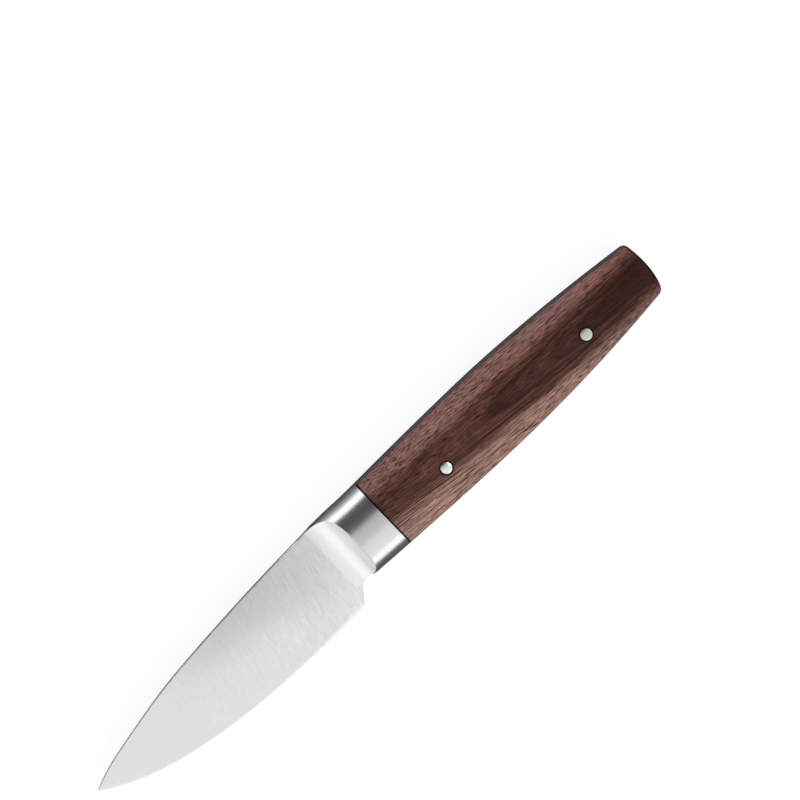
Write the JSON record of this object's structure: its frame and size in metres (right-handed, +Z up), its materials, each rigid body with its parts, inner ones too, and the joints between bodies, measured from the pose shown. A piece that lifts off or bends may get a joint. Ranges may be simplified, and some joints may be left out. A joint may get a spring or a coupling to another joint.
{
  "type": "paring knife",
  "caption": "Small kitchen paring knife with a forged spear-point blade, integral bolster, full tang and pinned walnut scales.",
  "frame": {"origin": "on the surface that the knife lies on, under the middle of its length and of its height", "axes": "+X from the point to the butt, +Y from the cutting edge to the spine, +Z up, out of the left side of the blade"},
  "size_m": [0.198, 0.0264, 0.016],
  "materials": {
    "blade_steel": "fine satin, ground across the blade",
    "handle_walnut": "oiled, satin",
    "pin_steel": "polished"
  },
  "bodies": {
    "root": {"blade_and_tang": "blade_steel", "left_scale": "handle_walnut", "right_scale": "handle_walnut", "front_pin": "pin_steel", "rear_pin": "pin_steel"}
  },
  "joints": []
}
